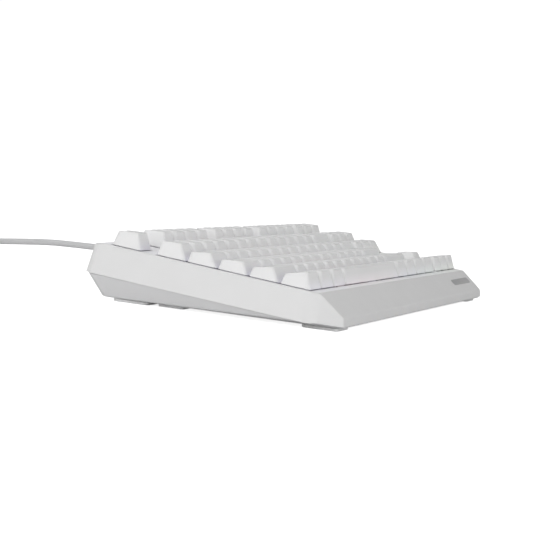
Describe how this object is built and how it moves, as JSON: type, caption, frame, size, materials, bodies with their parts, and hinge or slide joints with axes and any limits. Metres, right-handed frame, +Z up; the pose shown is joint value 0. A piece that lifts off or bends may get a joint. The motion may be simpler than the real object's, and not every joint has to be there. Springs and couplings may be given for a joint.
{
  "type": "mechanical keyboard",
  "caption": "Compact wired keyboard without a number pad: sculpted travelling keys in a two-shell wedge case, folding tilt feet and a coiled cable with plug.",
  "frame": {"origin": "on the desk, under the middle of the keyboard's box without its cable", "axes": "+X to the right along the key rows, +Y away from the typist, +Z up"},
  "size_m": [0.362, 0.4297, 0.0413],
  "materials": {
    "white_shell": "fine satin texture",
    "lower_shell": "fine satin texture",
    "keycaps": "fine satin texture",
    "switches": "satin",
    "plate": "powder coat",
    "board": "satin",
    "steel": "satin",
    "plated_steel": "polished",
    "pad_rubber": "matte",
    "cable_braid": "braided sleeve",
    "cable_rubber": "satin",
    "tie_strap": "woven strap"
  },
  "bodies": {
    "case": {"top_case": "white_shell", "bottom_case": "lower_shell", "case_screw_1": "steel", "case_screw_2": "steel", "case_screw_3": "steel", "case_screw_4": "steel", "case_screw_5": "steel", "case_screw_6": "steel", "front_pad_left": "pad_rubber", "front_pad_right": "pad_rubber", "rear_pad_left": "pad_rubber", "rear_pad_right": "pad_rubber", "switch_housings": "switches", "switch_plate": "plate", "circuit_board": "board", "cable_strain_relief": "cable_rubber", "usb_cable": "cable_braid", "usb_cable_coil": "cable_braid", "cable_tie": "tie_strap", "usb_plug": "cable_rubber", "usb_plug_shell": "plated_steel"},
    "tilt_foot_left": {"tilt_foot_left": "lower_shell"},
    "tilt_foot_right": {"tilt_foot_right": "lower_shell"},
    "space_bar_stabilizer": {"space_bar_stabilizer": "steel"},
    "key_escape": {"key_escape": "keycaps"},
    "keys_function_1_to_4": {"keys_function_1_to_4": "keycaps"},
    "keys_function_5_to_8": {"keys_function_5_to_8": "keycaps"},
    "keys_function_9_to_12": {"keys_function_9_to_12": "keycaps"},
    "key_print_screen": {"key_print_screen": "keycaps"},
    "key_scroll_lock": {"key_scroll_lock": "keycaps"},
    "key_pause": {"key_pause": "keycaps"},
    "keys_number_row": {"keys_number_row": "keycaps"},
    "key_backspace": {"key_backspace": "keycaps"},
    "key_insert": {"key_insert": "keycaps"},
    "key_home": {"key_home": "keycaps"},
    "key_page_up": {"key_page_up": "keycaps"},
    "key_tab": {"key_tab": "keycaps"},
    "keys_upper_letter_row": {"keys_upper_letter_row": "keycaps"},
    "key_backslash": {"key_backslash": "keycaps"},
    "key_delete": {"key_delete": "keycaps"},
    "key_end": {"key_end": "keycaps"},
    "key_page_down": {"key_page_down": "keycaps"},
    "key_caps_lock": {"key_caps_lock": "keycaps"},
    "keys_home_letter_row": {"keys_home_letter_row": "keycaps"},
    "key_enter": {"key_enter": "keycaps"},
    "key_shift_left": {"key_shift_left": "keycaps"},
    "keys_lower_letter_row": {"keys_lower_letter_row": "keycaps"},
    "key_shift_right": {"key_shift_right": "keycaps"},
    "key_arrow_up": {"key_arrow_up": "keycaps"},
    "key_control_left": {"key_control_left": "keycaps"},
    "key_system": {"key_system": "keycaps"},
    "key_alt_left": {"key_alt_left": "keycaps"},
    "key_space": {"key_space": "keycaps"},
    "key_alt_right": {"key_alt_right": "keycaps"},
    "key_function_shift": {"key_function_shift": "keycaps"},
    "key_menu": {"key_menu": "keycaps"},
    "key_control_right": {"key_control_right": "keycaps"},
    "key_arrow_left": {"key_arrow_left": "keycaps"},
    "key_arrow_down": {"key_arrow_down": "keycaps"},
    "key_arrow_right": {"key_arrow_right": "keycaps"}
  },
  "joints": [
    {"name": "tilt_foot_left_hinge", "type": "hinge", "parent": "case", "child": "tilt_foot_left", "pos_m": [-0.1585, 0.0345, 0.0037], "axis": [1, 0, 0], "range_deg": [0, 95]},
    {"name": "tilt_foot_right_hinge", "type": "hinge", "parent": "case", "child": "tilt_foot_right", "pos_m": [0.1585, 0.0345, 0.0037], "axis": [1, 0, 0], "range_deg": [0, 95]},
    {"name": "key_escape_travel", "type": "slide", "parent": "case", "child": "key_escape", "axis": [0, 0.0932, -0.9956], "range_m": [0, 0.004], "stiffness_N_per_m": 100, "springref_m": -0.004},
    {"name": "key_space_travel", "type": "slide", "parent": "case", "child": "key_space", "axis": [0, 0.0932, -0.9956], "range_m": [0, 0.004], "stiffness_N_per_m": 100, "springref_m": -0.004},
    {"name": "keys_number_row_travel", "type": "slide", "parent": "case", "child": "keys_number_row", "axis": [0, 0.0932, -0.9956], "range_m": [0, 0.004], "stiffness_N_per_m": 1300, "springref_m": -0.004},
    {"name": "key_tab_travel", "type": "slide", "parent": "case", "child": "key_tab", "axis": [0, 0.0932, -0.9956], "range_m": [0, 0.004], "stiffness_N_per_m": 100, "springref_m": -0.004},
    {"name": "key_caps_lock_travel", "type": "slide", "parent": "case", "child": "key_caps_lock", "axis": [0, 0.0932, -0.9956], "range_m": [0, 0.004], "stiffness_N_per_m": 100, "springref_m": -0.004},
    {"name": "key_shift_left_travel", "type": "slide", "parent": "case", "child": "key_shift_left", "axis": [0, 0.0932, -0.9956], "range_m": [0, 0.004], "stiffness_N_per_m": 100, "springref_m": -0.004},
    {"name": "key_control_left_travel", "type": "slide", "parent": "case", "child": "key_control_left", "axis": [0, 0.0932, -0.9956], "range_m": [0, 0.004], "stiffness_N_per_m": 100, "springref_m": -0.004},
    {"name": "keys_function_1_to_4_travel", "type": "slide", "parent": "case", "child": "keys_function_1_to_4", "axis": [0, 0.0932, -0.9956], "range_m": [0, 0.004], "stiffness_N_per_m": 400, "springref_m": -0.004},
    {"name": "keys_upper_letter_row_travel", "type": "slide", "parent": "case", "child": "keys_upper_letter_row", "axis": [0, 0.0932, -0.9956], "range_m": [0, 0.004], "stiffness_N_per_m": 1200, "springref_m": -0.004},
    {"name": "keys_home_letter_row_travel", "type": "slide", "parent": "case", "child": "keys_home_letter_row", "axis": [0, 0.0932, -0.9956], "range_m": [0, 0.004], "stiffness_N_per_m": 1100, "springref_m": -0.004},
    {"name": "keys_lower_letter_row_travel", "type": "slide", "parent": "case", "child": "keys_lower_letter_row", "axis": [0, 0.0932, -0.9956], "range_m": [0, 0.004], "stiffness_N_per_m": 1000, "springref_m": -0.004},
    {"name": "key_backspace_travel", "type": "slide", "parent": "case", "child": "key_backspace", "axis": [0, 0.0932, -0.9956], "range_m": [0, 0.004], "stiffness_N_per_m": 100, "springref_m": -0.004},
    {"name": "key_enter_travel", "type": "slide", "parent": "case", "child": "key_enter", "axis": [0, 0.0932, -0.9956], "range_m": [0, 0.004], "stiffness_N_per_m": 100, "springref_m": -0.004},
    {"name": "key_shift_right_travel", "type": "slide", "parent": "case", "child": "key_shift_right", "axis": [0, 0.0932, -0.9956], "range_m": [0, 0.004], "stiffness_N_per_m": 100, "springref_m": -0.004},
    {"name": "key_arrow_up_travel", "type": "slide", "parent": "case", "child": "key_arrow_up", "axis": [0, 0.0932, -0.9956], "range_m": [0, 0.004], "stiffness_N_per_m": 100, "springref_m": -0.004},
    {"name": "keys_function_5_to_8_travel", "type": "slide", "parent": "case", "child": "keys_function_5_to_8", "axis": [0, 0.0932, -0.9956], "range_m": [0, 0.004], "stiffness_N_per_m": 400, "springref_m": -0.004},
    {"name": "keys_function_9_to_12_travel", "type": "slide", "parent": "case", "child": "keys_function_9_to_12", "axis": [0, 0.0932, -0.9956], "range_m": [0, 0.004], "stiffness_N_per_m": 400, "springref_m": -0.004},
    {"name": "key_print_screen_travel", "type": "slide", "parent": "case", "child": "key_print_screen", "axis": [0, 0.0932, -0.9956], "range_m": [0, 0.004], "stiffness_N_per_m": 100, "springref_m": -0.004},
    {"name": "key_scroll_lock_travel", "type": "slide", "parent": "case", "child": "key_scroll_lock", "axis": [0, 0.0932, -0.9956], "range_m": [0, 0.004], "stiffness_N_per_m": 100, "springref_m": -0.004},
    {"name": "key_pause_travel", "type": "slide", "parent": "case", "child": "key_pause", "axis": [0, 0.0932, -0.9956], "range_m": [0, 0.004], "stiffness_N_per_m": 100, "springref_m": -0.004},
    {"name": "key_insert_travel", "type": "slide", "parent": "case", "child": "key_insert", "axis": [0, 0.0932, -0.9956], "range_m": [0, 0.004], "stiffness_N_per_m": 100, "springref_m": -0.004},
    {"name": "key_home_travel", "type": "slide", "parent": "case", "child": "key_home", "axis": [0, 0.0932, -0.9956], "range_m": [0, 0.004], "stiffness_N_per_m": 100, "springref_m": -0.004},
    {"name": "key_page_up_travel", "type": "slide", "parent": "case", "child": "key_page_up", "axis": [0, 0.0932, -0.9956], "range_m": [0, 0.004], "stiffness_N_per_m": 100, "springref_m": -0.004},
    {"name": "key_backslash_travel", "type": "slide", "parent": "case", "child": "key_backslash", "axis": [0, 0.0932, -0.9956], "range_m": [0, 0.004], "stiffness_N_per_m": 100, "springref_m": -0.004},
    {"name": "key_delete_travel", "type": "slide", "parent": "case", "child": "key_delete", "axis": [0, 0.0932, -0.9956], "range_m": [0, 0.004], "stiffness_N_per_m": 100, "springref_m": -0.004},
    {"name": "key_end_travel", "type": "slide", "parent": "case", "child": "key_end", "axis": [0, 0.0932, -0.9956], "range_m": [0, 0.004], "stiffness_N_per_m": 100, "springref_m": -0.004},
    {"name": "key_page_down_travel", "type": "slide", "parent": "case", "child": "key_page_down", "axis": [0, 0.0932, -0.9956], "range_m": [0, 0.004], "stiffness_N_per_m": 100, "springref_m": -0.004},
    {"name": "key_system_travel", "type": "slide", "parent": "case", "child": "key_system", "axis": [0, 0.0932, -0.9956], "range_m": [0, 0.004], "stiffness_N_per_m": 100, "springref_m": -0.004},
    {"name": "key_alt_left_travel", "type": "slide", "parent": "case", "child": "key_alt_left", "axis": [0, 0.0932, -0.9956], "range_m": [0, 0.004], "stiffness_N_per_m": 100, "springref_m": -0.004},
    {"name": "key_alt_right_travel", "type": "slide", "parent": "case", "child": "key_alt_right", "axis": [0, 0.0932, -0.9956], "range_m": [0, 0.004], "stiffness_N_per_m": 100, "springref_m": -0.004},
    {"name": "key_function_shift_travel", "type": "slide", "parent": "case", "child": "key_function_shift", "axis": [0, 0.0932, -0.9956], "range_m": [0, 0.004], "stiffness_N_per_m": 100, "springref_m": -0.004},
    {"name": "key_menu_travel", "type": "slide", "parent": "case", "child": "key_menu", "axis": [0, 0.0932, -0.9956], "range_m": [0, 0.004], "stiffness_N_per_m": 100, "springref_m": -0.004},
    {"name": "key_control_right_travel", "type": "slide", "parent": "case", "child": "key_control_right", "axis": [0, 0.0932, -0.9956], "range_m": [0, 0.004], "stiffness_N_per_m": 100, "springref_m": -0.004},
    {"name": "key_arrow_left_travel", "type": "slide", "parent": "case", "child": "key_arrow_left", "axis": [0, 0.0932, -0.9956], "range_m": [0, 0.004], "stiffness_N_per_m": 100, "springref_m": -0.004},
    {"name": "key_arrow_down_travel", "type": "slide", "parent": "case", "child": "key_arrow_down", "axis": [0, 0.0932, -0.9956], "range_m": [0, 0.004], "stiffness_N_per_m": 100, "springref_m": -0.004},
    {"name": "key_arrow_right_travel", "type": "slide", "parent": "case", "child": "key_arrow_right", "axis": [0, 0.0932, -0.9956], "range_m": [0, 0.004], "stiffness_N_per_m": 100, "springref_m": -0.004},
    {"name": "space_bar_stabilizer_turn", "type": "hinge", "parent": "case", "child": "space_bar_stabilizer", "pos_m": [-0.04286, -0.05583, 0.01571], "axis": [-1, 0, 0], "range_deg": [0, 27.5]}
  ],
  "couplings": [
    {"joint": "space_bar_stabilizer_turn", "follows": "key_space_travel", "rad_per_m": 117.7}
  ]
}
